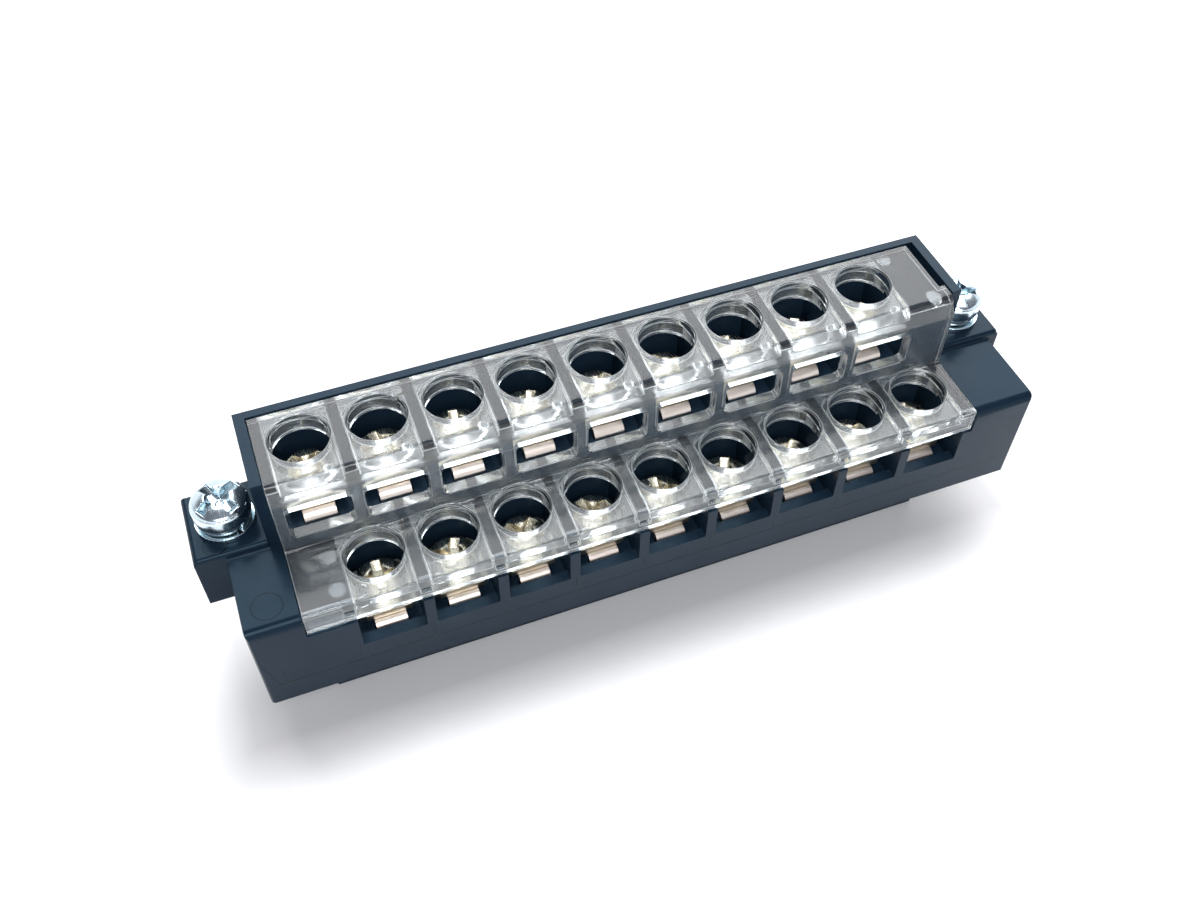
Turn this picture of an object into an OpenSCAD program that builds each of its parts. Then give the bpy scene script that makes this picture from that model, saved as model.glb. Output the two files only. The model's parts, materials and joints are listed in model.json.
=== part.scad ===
/* [Terminals] */
// Terminals in each of the two rows
terminals_per_row = 9; // [2:1:10]
// Spacing of the terminals along a row
pitch = 7.62; // [7.3:0.01:10]
// Distance from the lower row to the upper row, front to back
row_spacing = 8.8; // [8.5:0.1:11]
// Height of the upper tier above the lower tier
row_drop = 9.15; // [8.6:0.05:12]
// Depth of the contact plate below the top of the cover
contact_depth = 7.35; // [7:0.05:8.5]

/* [Housing] */
// Thickness of the walls between terminals
partition_wall = 1.1; // [0.8:0.05:1.3]
// Thickness of the end walls of the rear tier
end_wall = 1.1; // [0.8:0.05:2]
// Thickness of the back wall
back_wall = 0.9; // [0.7:0.05:1.5]
// Thickness of the front wall below the wire openings
front_wall = 1.2; // [0.9:0.05:1.4]
// From the lower screws to the front face
front_reach = 5.25; // [5:0.05:7]
// From the upper screws to the back face
back_reach = 4.85; // [4.6:0.05:7]
// Height of the front tier, from the underside to the deck
base_height = 12.85; // [12:0.05:16]
// Length of the left end block beyond the rear tier
deck_over_left = 4.25; // [2:0.05:6]
// Length of the right end block beyond the rear tier
deck_over_right = 6.05; // [2:0.05:6.5]
// Rounding of the deck's front edge
deck_round = 1.1; // [0.4:0.1:2]
// Rounding of the end blocks' upright front corners
corner_round = 0.5; // [0.2:0.1:1]

/* [Ears] */
// Length of an ear beyond the rear tier
ear_reach = 7.3; // [7:0.1:10]
// Width of an ear, front to back
ear_width = 8.3; // [7.5:0.1:9]
// Thickness of an ear
ear_thickness = 7.1; // [5:0.1:9]
// Height of the ear's top above the deck
ear_step = 0.9; // [0.4:0.1:2]
// Rounding of the ear's top edges
ear_round = 0.5; // [0.2:0.1:0.7]
// Hollow radius at the foot of the ear's step on to the deck
ear_fillet = 0.4; // [0.1:0.1:0.8]
// Wall left around the hollow underside of an ear
ear_wall = 1.2; // [0.8:0.1:1.6]
// Thickness of an ear's top over its hollow
ear_top = 2; // [1.2:0.1:3]
// Outside diameter of the boss around an ear's screw hole
ear_boss = 4.6; // [4.4:0.1:5.2]
// Thickness of the webs that join the boss to the ear's walls
ear_web = 1; // [0.8:0.1:1.6]

/* [Plug skirt] */
// Height of the skirt below the housing
skirt_height = 7.5; // [6:0.1:10]
// Set-back of the skirt from the front face
skirt_setback = 4.2; // [3:0.1:4.6]
// Set-back of the skirt from the back face
skirt_back_setback = 0.5; // [0.3:0.1:0.9]
// Wall between the outermost sockets and the skirt's ends
skirt_wall = 1.2; // [0.8:0.1:2.5]
// Depth of a plug socket in the underside of the skirt
socket_depth = 6; // [4.5:0.1:7]

/* [Cover] */
// Thickness of the cover's plates
cover_plate = 1.2; // [0.9:0.05:1.4]
// Thickness of the lip over the front face
lip_thickness = 1; // [0.8:0.05:1.2]
// Height of the lip below the lower plate's top
lip_height = 3; // [2.5:0.1:3.3]
// Distance from the upper screws to the face of the riser
riser_reach = 6; // [5.8:0.05:6.2]
// Front-to-back size of the bevel at the top of the riser
bevel_run = 1; // [0.5:0.05:1.1]
// Height of the bevel at the top of the riser
bevel_drop = 2; // [1:0.1:2.4]
// Rounding where the upper plate meets the bevel
bevel_round = 0.8; // [0.1:0.1:1]
// Rounding where the bevel meets the riser
riser_round = 1.5; // [0.1:0.1:1.8]
// Hollow radius between the riser and the lower plate
step_round = 0.5; // [0.1:0.1:1]
// Rounding of the lip's upper edge
lip_round = 0.35; // [0.1:0.05:0.6]
// Rounding of the lip's lower edge
lip_edge = 0.15; // [0.05:0.05:0.4]
// Length of cover beyond the outermost terminals
end_margin = 4.3; // [4.1:0.05:6]
// Diameter of a driver hole
driver_hole = 5.9; // [5.8:0.05:6.1]
// Chamfer around the top of a driver hole
hole_chamfer = 0.15; // [0.05:0.05:0.3]
// Depth of a driver hole's collar below the top of the cover
collar_depth = 2.4; // [1.6:0.1:2.6]
// Thickness of the pad in front of a driver hole
pad_drop = 0.7; // [0.3:0.1:1]
// Width of a wire slot
slot_width = 6.4; // [5:0.1:6.6]
// Height of a wire slot
slot_height = 4; // [3:0.1:4.4]
// Height of the slot's sill above the contact plate
slot_sill = 0.05; // [0:0.05:0.4]
// Width of a snap window in the lip
window_width = 1.2; // [0.8:0.1:1.6]
// Height of a snap window in the lip
window_height = 0.8; // [0.5:0.1:1]
// From the lower plate's top down to a snap window
window_drop = 1.2; // [1.2:0.1:1.5]
// Inset of the upper plate's right end behind its front corner
end_inset = 0.7; // [0.3:0.1:1.5]
// Length of the full-width front part of the upper plate's right end
end_corner = 2.8; // [2:0.1:4]

/* [Terminal hardware] */
// Thread diameter of the terminal screws
screw_thread = 3; // [2.5:0.1:3]
// Head diameter of the terminal screws
screw_head = 5.5; // [4.8:0.1:5.6]
// Head height of the terminal screws
screw_head_height = 2.2; // [1.8:0.1:2.4]
// Length of a terminal screw below its head
screw_length = 5; // [4.5:0.1:5.2]
// Side of a square clamp plate
clamp_side = 5.8; // [5:0.1:5.9]
// Thickness of a clamp plate
clamp_thickness = 0.8; // [0.6:0.05:1]
// Thickness of the contact strip
strip = 0.8; // [0.6:0.05:0.9]
// Width of the contact plate
plate_width = 6; // [5.6:0.1:6.1]
// Width of the contact's front tongue
tongue_width = 3.3; // [2.8:0.1:3.6]
// Width of the contact's leg
leg_width = 3; // [2.4:0.1:3.2]

/* [Mounting hardware] */
// Thread diameter of the mounting screws
mount_thread = 3; // [2.5:0.1:3.2]
// Length of a mounting screw below its head
mount_length = 16; // [12:0.5:18]
// Length of a mounting screw's threaded end
mount_thread_length = 7; // [3:0.5:7]
// Diameter of a mounting screw's neck, above its thread
mount_neck = 2.5; // [2:0.1:2.5]
// Head diameter of the mounting screws
mount_head = 5.7; // [5:0.1:6.2]
// Head height of the mounting screws
mount_head_height = 2.4; // [2:0.1:2.8]
// Outside diameter of the flat washers
washer_outside = 5.9; // [5.6:0.1:6.8]
// Thickness of the flat washers
washer_thickness = 0.5; // [0.4:0.05:0.8]
// Outside diameter of the spring washers
spring_outside = 5.2; // [4.8:0.1:5.6]
// Thickness of the spring washers
spring_thickness = 0.9; // [0.7:0.05:1.1]
// Distance of a mounting screw from the rear tier's end
mount_offset = 3.4; // [3.3:0.05:3.8]

/* [Hidden] */
$fn = 48;
// Steps in each rounded corner of the cover's outline
arc_steps = 6;
// Running gap between parts that move or fit together
fit = 0.1;
// How far a cut passes beyond the face that it opens
over = 1;
// Height of the cover's lower plate above the deck, and of the rim above the cover
proud = 0.15;
// Rise of the domed screw heads
dome = 0.8;
// Corner radius of the wire slots
slot_round = 0.5;
// Outer bend radius of the contact strips
bend = 1;
// Wall around the threaded hole of a contact, and its height below the plate
thread_collar = 0.6;
thread_collar_drop = 1;
// Width and length of the slit in a contact's fork
fork_gap = 0.9;
fork_length = 4;
// Height of a fork's ends inside the mouth of its socket
fork_recess = 0.5;
// Space around a fork inside its socket
socket_room = 0.5;
// Width of the four wings of the cross recess in the screw heads
driver_wing = 1;
// Length of two wings at the head's top as a share of its diameter, and of their floor as a share of that
cross_share = 1;
cross_floor_share = 0.5;
// Depth of the wings as a share of the head's height
cross_depth_share = 0.55;
// Cone in the middle of the cross: its ends as shares of the head's diameter, its depth as a share of the wings'
cone_share = 0.46;
cone_tip_share = 0.12;
cone_depth_share = 1.1;
// Height to which a shank runs up inside its head, as a share of the head's height
core_share = 0.3;
// Wall left around the hollow end blocks
core_wall = 1.3;
// Set-back of the lower bays from the face of the rear tier
step_wall = 0.4;
// Room around a thread collar and below a screw's tip in a screw well
well_room = 0.2;
tip_room = 0.4;
// Wall of a driver hole's half collar
collar_wall = 0.7;
// How far a snap nose reaches into its window
nose_reach = 0.6;
// Chamfer of a clamp plate's corners
clamp_corner = 0.6;
// Cut of the spring washers: its width, its slant and its place round the washer
spring_cut = 0.5;
spring_slant = 30;
spring_turn = -60;
// Turns of the screws' slots: from one terminal to the next, between rows, and of the mounting screws
turn_step = 67;
turn_between_rows = 41;
mount_turn = [33, 70];

last = terminals_per_row - 1;
rows = [0, 1];
stagger = pitch / 2;
depth = front_reach + row_spacing + back_reach;
y_front = -depth / 2;
y_back = depth / 2;
y_row = [y_front + front_reach, y_front + front_reach + row_spacing];
outer_x = last * pitch / 2 + stagger / 2;
cover_half = outer_x + end_margin;
seat_half = cover_half + fit;
tower_half = seat_half + end_wall;

base_z = skirt_height;
deck_z = base_z + base_height;
cover_z = [deck_z + proud, deck_z + proud + row_drop];
rim_z = cover_z[1] + proud;
under_z = [for (r = rows) cover_z[r] - cover_plate];
contact_z = [for (r = rows) cover_z[r] - contact_depth];
floor_z = [for (r = rows) contact_z[r] - strip];

riser_y = y_row[1] - riser_reach;
riser_in_y = riser_y + cover_plate;
tower_front = riser_in_y + fit;
lip_y = y_front + proud;
lip_in_y = lip_y + lip_thickness;
lip_z = cover_z[0] - lip_height;
window_z = [cover_z[0] - window_drop - window_height, cover_z[0] - window_drop];
back_in_y = y_back - back_wall;

bay_width = pitch - partition_wall;
bay_back_y = [tower_front - step_wall, back_in_y];
head_z = [for (r = rows) contact_z[r] + clamp_thickness + 2 * fit];
well_r = screw_thread / 2 + fit + thread_collar + well_room;
well_z = [for (r = rows) head_z[r] - screw_length - tip_room];
plate_reach = clamp_side / 2;
skirt_half = outer_x + leg_width / 2 + socket_room + skirt_wall;

ear_z = deck_z + ear_step;
ear_bottom_z = ear_z - ear_thickness;
step_r = min(ear_fillet, ear_step - ear_round);
ear_back_y = tower_front + ear_width;
ear_half = tower_half + ear_reach;
mount_x = tower_half + mount_offset;
mount_y = tower_front + ear_width / 2;
spring_z = ear_z + washer_thickness + fit;
mount_head_z = spring_z + spring_thickness + fit;

housing_colour = "#33424d";
cover_colour = [0.86, 0.9, 0.92, 0.35];
nickel_colour = "#b9b4a4";
zinc_colour = "#c3cdd6";

// Points of the arc that rounds the corner b of an outline a, b, c
function corner_arc(a, b, c, r) =
  let (u = (a - b) / norm(a - b),
       v = (c - b) / norm(c - b),
       half = acos(u * v) / 2,
       centre = b + (u + v) / norm(u + v) * r / sin(half),
       first = b + u * r / tan(half) - centre,
       end = b + v * r / tan(half) - centre,
       start = atan2(first.y, first.x),
       sweep = (atan2(end.y, end.x) - start + 540) % 360 - 180)
  [for (k = [0:arc_steps]) centre + r * [cos(start + sweep * k / arc_steps), sin(start + sweep * k / arc_steps)]];

// Points of an outline given as corners with a radius each, where a radius of 0 leaves the corner sharp
function rounded(corners) =
  let (n = len(corners))
  [for (i = [0:n - 1])
    each corners[i][1] == 0 ? [corners[i][0]] :
      corner_arc(corners[(i + n - 1) % n][0], corners[i][0], corners[(i + 1) % n][0], corners[i][1])];

function place_x(row, i) = (i - last / 2) * pitch + (row == 0 ? stagger : -stagger) / 2;

SIDES = [-1, 1];
SIDE_NAMES = ["left", "right"];
UPPER_SCREWS = [for (i = [0:last]) str("upper_screw_", i + 1)];
LOWER_SCREWS = [for (i = [0:last]) str("lower_screw_", i + 1)];
UPPER_CLAMPS = [for (i = [0:last]) str("upper_clamp_", i + 1)];
LOWER_CLAMPS = [for (i = [0:last]) str("lower_clamp_", i + 1)];
SCREWS = [LOWER_SCREWS, UPPER_SCREWS];
CLAMPS = [LOWER_CLAMPS, UPPER_CLAMPS];
CONTACTS = ["lower_contacts", "upper_contacts"];
MOUNT_SCREWS = [for (s = SIDE_NAMES) str("mounting_screw_", s)];
SPRING_WASHERS = [for (s = SIDE_NAMES) str("spring_washer_", s)];
FLAT_WASHERS = [for (s = SIDE_NAMES) str("flat_washer_", s)];

// Carries a side view, drawn as front-to-back and height, from one x to another
module along_x(x0, x1) {
  translate([x0, 0, 0])
    rotate([90, 0, 90])
      linear_extrude(x1 - x0)
        children();
}

// Box between two corners
module block(low, high) {
  translate(low)
    cube(high - low);
}

// Side view of a block whose front top edge is rounded
module rounded_front(y0, z0, y1, z1, r) {
  translate([y0, z0])
    square([y1 - y0, z1 - z0 - r]);
  translate([y0 + r, z0])
    square([y1 - y0 - r, z1 - z0]);
  translate([y0 + r, z1 - r])
    circle(r);
}

// Outline of a rectangle with four round corners, centred
module rounded_rectangle(w, h, r) {
  square([w - 2 * r, h], center = true);
  square([w, h - 2 * r], center = true);
  for (x = SIDES, y = SIDES)
    translate([x * (w / 2 - r), y * (h / 2 - r)])
      circle(r);
}

// Places its children at every terminal of a row
module each_terminal(row) {
  for (i = [0:last])
    translate([place_x(row, i), y_row[row], 0])
      children();
}

// Places its children at the wall to the left of every lower terminal
module each_lower_wall() {
  for (i = [0:last])
    translate([place_x(0, i) - pitch / 2, 0, 0])
      children();
}

// Nose on a lower wall that the cover's lip snaps over
module snap_nose() {
  half = window_width / 2 - fit;
  along_x(-half, half)
    polygon([[lip_in_y + fit + over, window_z[0] + fit],
             [lip_in_y - nose_reach, window_z[0] + fit],
             [lip_in_y + fit, window_z[1] - fit],
             [lip_in_y + fit + over, window_z[1] - fit]]);
}

// One ear with its screw hole, on the given side
module ear(side) {
  outer = ear_half - tower_half + end_wall;
  difference() {
    translate([side * (tower_half - end_wall), 0, 0])
      mirror([side < 0 ? 1 : 0, 0, 0]) {
        along_x(0, outer - ear_round)
          rounded_front(tower_front, ear_bottom_z, ear_back_y, ear_z, ear_round);
        along_x(0, outer)
          translate([tower_front, ear_bottom_z])
            square([ear_width, ear_thickness - ear_round]);
        translate([outer - ear_round, tower_front + ear_round, ear_z - ear_round])
          rotate([-90, 0, 0])
            cylinder(r = ear_round, h = ear_width - ear_round);
        translate([outer - ear_round, tower_front + ear_round, ear_z - ear_round])
          sphere(ear_round);
      }
    translate([side * mount_x, mount_y, ear_bottom_z - over])
      cylinder(d = mount_thread + 2 * fit, h = ear_thickness + 2 * over);
  }
}

// Hollow strip that eases the step from the ear's front down to the deck
module step_fillet(side) {
  deck_end = tower_half + (side < 0 ? deck_over_left : deck_over_right);
  x0 = side < 0 ? -min(deck_end, ear_half) : tower_half;
  x1 = side < 0 ? -tower_half : min(deck_end, ear_half);
  along_x(x0, x1)
    translate([tower_front - step_r, deck_z])
      difference() {
        translate([0, -over])
          square([step_r + over, step_r + over]);
        translate([0, step_r])
          circle(step_r);
      }
}

// Hollow in the underside of an ear, around the boss of its screw hole and its webs
module ear_core(side) {
  x0 = tower_half + ear_wall;
  x1 = ear_half - ear_wall;
  difference() {
    block([side < 0 ? -x1 : x0, tower_front + ear_wall, ear_bottom_z - over],
          [side < 0 ? -x0 : x1, ear_back_y - ear_wall, ear_z - ear_top]);
    translate([side * mount_x, mount_y, ear_bottom_z - 2 * over]) {
      cylinder(d = ear_boss, h = ear_thickness + 2 * over);
      translate([-ear_reach, -ear_web / 2, 0])
        cube([2 * ear_reach, ear_web, ear_thickness + 2 * over]);
    }
  }
}

// Front tier from one end block to the other, with a round front edge and round front corners
module front_tier() {
  x0 = -tower_half - deck_over_left;
  x1 = tower_half + deck_over_right;
  intersection() {
    along_x(x0, x1)
      rounded_front(y_front, base_z, tower_front, deck_z, deck_round);
    linear_extrude(deck_z) {
      translate([x0, y_front + corner_round])
        square([x1 - x0, tower_front - y_front - corner_round]);
      translate([x0 + corner_round, y_front])
        square([x1 - x0 - 2 * corner_round, tower_front - y_front]);
      for (x = [x0 + corner_round, x1 - corner_round])
        translate([x, y_front + corner_round])
          circle(corner_round);
    }
  }
}

// Hollow in the underside of an end block
module end_core(side) {
  x0 = tower_half + core_wall / 2;
  x1 = tower_half + (side < 0 ? deck_over_left : deck_over_right) - core_wall;
  low = [side < 0 ? -x1 : x0, y_front + core_wall, base_z - over];
  high = [side < 0 ? -x0 : x1, tower_front - core_wall, deck_z - core_wall - deck_round];
  block(low, high);
}

// Space that the cover sits in
module cover_seat() {
  along_x(-seat_half, seat_half) {
    translate([tower_front - over, under_z[1]])
      square([back_in_y - tower_front + over, rim_z - under_z[1] + over]);
    translate([y_front - over, under_z[0]])
      square([tower_front - y_front + over, cover_z[1] - under_z[0]]);
    translate([y_front - over, lip_z - fit])
      square([lip_in_y + fit - y_front + over, cover_z[0] - lip_z]);
  }
}

// Bay of one terminal, its screw well and the way down for its leg
module bay(row) {
  back = bay_back_y[row] - y_row[row];
  front = row == 0 ? y_front - y_row[0] - over : tower_front - y_row[1] - over;
  half = bay_width / 2;
  block([-half, front, contact_z[row]], [half, back, rim_z + over]);
  block([-half, row == 0 ? front + over + front_wall : front, floor_z[row]], [half, back, rim_z + over]);
  translate([0, 0, well_z[row]])
    cylinder(r = well_r, h = rim_z);
  tongue_end = -plate_reach - bend;
  block([-tongue_width / 2 - fit, tongue_end - fit, floor_z[row] - bend - fit],
        [tongue_width / 2 + fit, tongue_end + bend, rim_z]);
  block([-leg_width / 2 - fit, plate_reach - bend, -over],
        [leg_width / 2 + fit, plate_reach + fit, floor_z[row] + over]);
  block([-leg_width / 2 - socket_room, plate_reach - strip - socket_room, -over],
        [leg_width / 2 + socket_room, plate_reach + socket_room, socket_depth]);
}

module housing() {
  color(housing_colour) {
    each_lower_wall()
      snap_nose();
    difference() {
      union() {
        along_x(-tower_half, tower_half)
          translate([tower_front, base_z])
            square([y_back - tower_front, rim_z - base_z]);
        front_tier();
        block([-skirt_half, y_front + skirt_setback, 0],
              [skirt_half, y_back - skirt_back_setback, base_z + over]);
        for (side = SIDES) {
          ear(side);
          step_fillet(side);
        }
      }
      cover_seat();
      for (row = rows)
        each_terminal(row)
          bay(row);
      for (side = SIDES) {
        end_core(side);
        ear_core(side);
      }
    }
  }
}

// Side view of the cover: two plates, the riser with its bevel, and the lip
module cover_section() {
  back = back_in_y - fit;
  polygon(rounded([
    [[back, cover_z[1]], 0],
    [[riser_y + bevel_run, cover_z[1]], bevel_round],
    [[riser_y, cover_z[1] - bevel_drop], riser_round],
    [[riser_y, cover_z[0]], step_round],
    [[lip_y, cover_z[0]], lip_round],
    [[lip_y, lip_z], lip_edge],
    [[lip_in_y, lip_z], 0],
    [[lip_in_y, under_z[0]], 0],
    [[riser_in_y, under_z[0]], 0],
    [[riser_in_y, under_z[1]], 0],
    [[back, under_z[1]], 0]]));
}

// Half collar behind a driver hole and the pad in front of it
module hole_surround(row) {
  reach = bay_width / 2 - 2 * fit;
  front = (row == 0 ? lip_in_y : riser_in_y) - y_row[row];
  intersection() {
    translate([0, 0, cover_z[row] - collar_depth])
      cylinder(r = driver_hole / 2 + collar_wall, h = collar_depth);
    block([-reach, 0, cover_z[row] - collar_depth], [reach, driver_hole, under_z[row] + cover_plate / 2]);
  }
  block([-reach, front - fit, under_z[row] - pad_drop], [reach, 0, under_z[row] + cover_plate / 2]);
}

// Driver hole with its chamfer
module driver_hole_cut(row) {
  translate([0, 0, cover_z[row] - collar_depth - over])
    cylinder(d = driver_hole, h = collar_depth + 2 * over);
  translate([0, 0, cover_z[row] - hole_chamfer])
    cylinder(d1 = driver_hole, d2 = driver_hole + 4 * hole_chamfer, h = 2 * hole_chamfer);
}

module cover() {
  slot_z = contact_z[1] + slot_sill + slot_height / 2;
  color(cover_colour)
    difference() {
      union() {
        along_x(-cover_half, cover_half)
          cover_section();
        for (row = rows)
          each_terminal(row)
            hole_surround(row);
      }
      for (row = rows)
        each_terminal(row)
          driver_hole_cut(row);
      for (i = [0:last])
        translate([place_x(1, i), riser_in_y + over, slot_z])
          rotate([90, 0, 0])
            linear_extrude(cover_plate + 2 * over)
              rounded_rectangle(slot_width, slot_height, slot_round);
      each_lower_wall()
        block([-window_width / 2, lip_y - over, window_z[0]], [window_width / 2, lip_in_y + fit, window_z[1]]);
      block([cover_half - end_inset, riser_y + end_corner, under_z[1] - over],
            [cover_half + over, y_back, cover_z[1] + over]);
    }
}

// Domed head, cut with a slot and a cross, standing on z = 0
module driver_head(diameter, height) {
  dome_r = (diameter * diameter / 4 + dome * dome) / (2 * dome);
  reach = diameter * cross_share / 2;
  floor_reach = reach * cross_floor_share;
  depth = height * cross_depth_share;
  cone_depth = depth * cone_depth_share;
  wing = [[floor_reach, height - depth], [reach, height], [reach, height + over]];
  difference() {
    intersection() {
      cylinder(d = diameter, h = height);
      translate([0, 0, height - dome_r])
        sphere(dome_r);
    }
    for (turn = [0, 90])
      rotate([90, 0, turn])
        linear_extrude(driver_wing, center = true)
          polygon([for (p = wing) p, for (i = [2:-1:0]) [-wing[i].x, wing[i].y]]);
    translate([0, 0, height - cone_depth])
      cylinder(d1 = diameter * cone_tip_share, d2 = diameter * cone_share, h = cone_depth);
  }
}

// Turn of each screw's head, so that no two look set by a machine
function head_turn(row, i) = (i * turn_step + row * turn_between_rows) % 180;

module terminal_screw(row, i) {
  color(nickel_colour)
    translate([place_x(row, i), y_row[row], head_z[row]])
      rotate(head_turn(row, i)) {
        driver_head(screw_head, screw_head_height);
        translate([0, 0, -screw_length])
          cylinder(d = screw_thread, h = screw_length + screw_head_height * core_share);
      }
}

module clamp(row, i) {
  half = clamp_side / 2;
  cut = half - clamp_corner;
  color(nickel_colour)
    translate([place_x(row, i), y_row[row], contact_z[row] + fit])
      linear_extrude(clamp_thickness)
        difference() {
          polygon([[-cut, -half], [cut, -half], [half, -cut], [half, cut],
                   [cut, half], [-cut, half], [-half, cut], [-half, -cut]]);
          circle(d = screw_thread + 2 * fit);
        }
}

// Quarter turn of the strip, from flat at the origin to pointing down
module strip_bend(width) {
  along_x(-width / 2, width / 2)
    translate([0, -bend])
      intersection() {
        difference() {
          circle(bend);
          circle(bend - strip);
        }
        square(bend);
      }
}

// One contact: threaded plate, front tongue and rear leg with its fork
module contact(row) {
  flat = plate_reach - bend;
  top = contact_z[row];
  difference() {
    union() {
      block([-plate_width / 2, -flat, top - strip], [plate_width / 2, flat, top]);
      translate([0, flat, top])
        strip_bend(leg_width);
      block([-leg_width / 2, plate_reach - strip, fork_recess], [leg_width / 2, plate_reach, top - bend]);
      block([-tongue_width / 2, -plate_reach, top - strip], [tongue_width / 2, -flat, top]);
      translate([0, -plate_reach, top])
        mirror([0, 1, 0])
          strip_bend(tongue_width);
      translate([0, 0, top - strip - thread_collar_drop])
        cylinder(d = screw_thread + 2 * fit + 2 * thread_collar, h = thread_collar_drop + strip / 2);
    }
    translate([0, 0, top - strip - thread_collar_drop - over])
      cylinder(d = screw_thread + 2 * fit, h = thread_collar_drop + strip + 2 * over);
    block([-fork_gap / 2, 0, 0], [fork_gap / 2, plate_reach + over, fork_recess + fork_length]);
  }
}

module contacts(row) {
  color(nickel_colour)
    each_terminal(row)
      contact(row);
}

module mounting_screw(side) {
  color(zinc_colour)
    translate([side * mount_x, mount_y, mount_head_z])
      rotate(mount_turn[side < 0 ? 0 : 1]) {
        driver_head(mount_head, mount_head_height);
        translate([0, 0, -mount_length])
          cylinder(d = mount_thread, h = mount_thread_length);
        translate([0, 0, -mount_length + mount_thread_length])
          cylinder(d = mount_neck, h = mount_length - mount_thread_length + mount_head_height * core_share);
      }
}

module spring_washer(side) {
  color(zinc_colour)
    translate([side * mount_x, mount_y, spring_z])
      difference() {
        cylinder(d = spring_outside, h = spring_thickness);
        translate([0, 0, -over])
          cylinder(d = mount_thread + 2 * fit, h = spring_thickness + 2 * over);
        rotate([0, spring_slant, spring_turn])
          translate([0, -spring_cut / 2, -spring_outside])
            cube([spring_outside, spring_cut, 2 * spring_outside]);
      }
}

module flat_washer(side) {
  color(zinc_colour)
    translate([side * mount_x, mount_y, ear_z + fit / 2])
      difference() {
        cylinder(d = washer_outside, h = washer_thickness);
        translate([0, 0, -over])
          cylinder(d = mount_thread + 2 * fit, h = washer_thickness + 2 * over);
      }
}

housing();
cover();
for (row = rows) {
  contacts(row);
  for (i = [0:last]) {
    terminal_screw(row, i);
    clamp(row, i);
  }
}
for (s = [0, 1]) {
  mounting_screw(SIDES[s]);
  spring_washer(SIDES[s]);
  flat_washer(SIDES[s]);
}
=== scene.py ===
"""Looks of a two-tier screw terminal block: finishes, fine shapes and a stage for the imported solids."""
import json
import math
from functools import partial

import bmesh
import bpy
import numpy as np
from bpy.props import FloatProperty, FloatVectorProperty, IntProperty, PointerProperty
from mathutils import Matrix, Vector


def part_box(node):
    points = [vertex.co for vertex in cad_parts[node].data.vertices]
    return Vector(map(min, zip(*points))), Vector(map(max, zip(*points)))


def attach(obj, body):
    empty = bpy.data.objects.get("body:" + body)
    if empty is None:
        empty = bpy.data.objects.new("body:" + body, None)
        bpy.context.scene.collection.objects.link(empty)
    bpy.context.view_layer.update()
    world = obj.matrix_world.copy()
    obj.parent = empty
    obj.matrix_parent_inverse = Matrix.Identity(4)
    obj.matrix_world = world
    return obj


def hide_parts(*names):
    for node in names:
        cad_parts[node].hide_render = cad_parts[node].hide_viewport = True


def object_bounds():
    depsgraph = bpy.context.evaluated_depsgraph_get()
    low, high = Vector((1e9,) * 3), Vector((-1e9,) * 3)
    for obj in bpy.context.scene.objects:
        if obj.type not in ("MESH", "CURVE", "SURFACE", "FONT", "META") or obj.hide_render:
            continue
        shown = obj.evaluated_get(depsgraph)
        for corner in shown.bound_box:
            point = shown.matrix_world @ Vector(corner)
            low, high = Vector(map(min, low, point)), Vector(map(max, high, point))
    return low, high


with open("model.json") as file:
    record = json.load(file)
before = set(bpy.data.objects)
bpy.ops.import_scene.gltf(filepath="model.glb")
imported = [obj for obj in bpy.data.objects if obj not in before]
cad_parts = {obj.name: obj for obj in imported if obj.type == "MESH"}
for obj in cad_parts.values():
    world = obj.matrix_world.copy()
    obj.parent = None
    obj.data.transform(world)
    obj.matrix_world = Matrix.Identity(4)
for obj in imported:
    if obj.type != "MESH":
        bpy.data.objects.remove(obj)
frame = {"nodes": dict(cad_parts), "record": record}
CAD_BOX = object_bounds()

bl_info = {
    "name": "Two-tier terminal block",
    "version": (1, 0, 0),
    "blender": (4, 5, 0),
    "location": "View3D > Sidebar > Terminal block",
    "description": "Finishes, moulded edges, screw threads and a stage for a two-tier terminal block",
    "category": "Object",
}

MM = 0.001
FULL_TURN = 2 * math.pi

BODY_OF = {node: body for body, nodes in frame["record"]["behaviour"]["bodies"].items() for node in nodes}
SIDES = ("left", "right")
TERMINAL_SCREWS = sorted(n for n in frame["nodes"] if "_screw_" in n and not n.startswith("mounting"))
CLAMPS = sorted(n for n in frame["nodes"] if "_clamp_" in n)
CONTACTS = sorted(n for n in frame["nodes"] if n.endswith("_contacts"))
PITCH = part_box("lower_clamp_2")[0][0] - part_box("lower_clamp_1")[0][0]
ROW_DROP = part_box("upper_clamp_1")[0][2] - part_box("lower_clamp_1")[0][2]
COVER_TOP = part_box("cover")[1][2]

# Distances that count as none: between doubled points, and between a point and the level that it lies on
MERGE_GAP = 1e-7
LEVEL_GAP = 0.01 * MM
# Share of a radius past which a point counts as lying on it
ON_RADIUS = 0.98

# Turn between two faces past which their edge is rounded, past which any other edge stays sharp, and up to
# which the two faces count as one
ROUNDED_TURN = math.radians(40)
SHARP_TURN = math.radians(30)
FLAT_TURN = math.radians(0.5)
# Shortest edge that is rounded, as a multiple of the rounding, and faces across a rounding
SHORTEST_ROUNDED = 1.5
ROUNDING_FACES = 2

# Rows of points in one pitch of a thread, shares of the pitch that its crest and its flanks take, height of
# the cone at its tip, and how far the shank reaches into the head
THREAD_ROWS = 8
THREAD_CREST = 0.12
THREAD_FLANKS = 0.7
TIP_CONE = 0.45 * MM
SHANK_IN_HEAD = 0.2 * MM

# Rings cut into a screw head for its rounded rim: how many, and the lowest and the highest, from the rim's
# level in multiples of the rounding; and the share of the head's radius past which its dome is measured
RIM_RINGS = 14
RIM_SPAN = (-1, 0.45)
DOME_SHARE = 0.82

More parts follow.
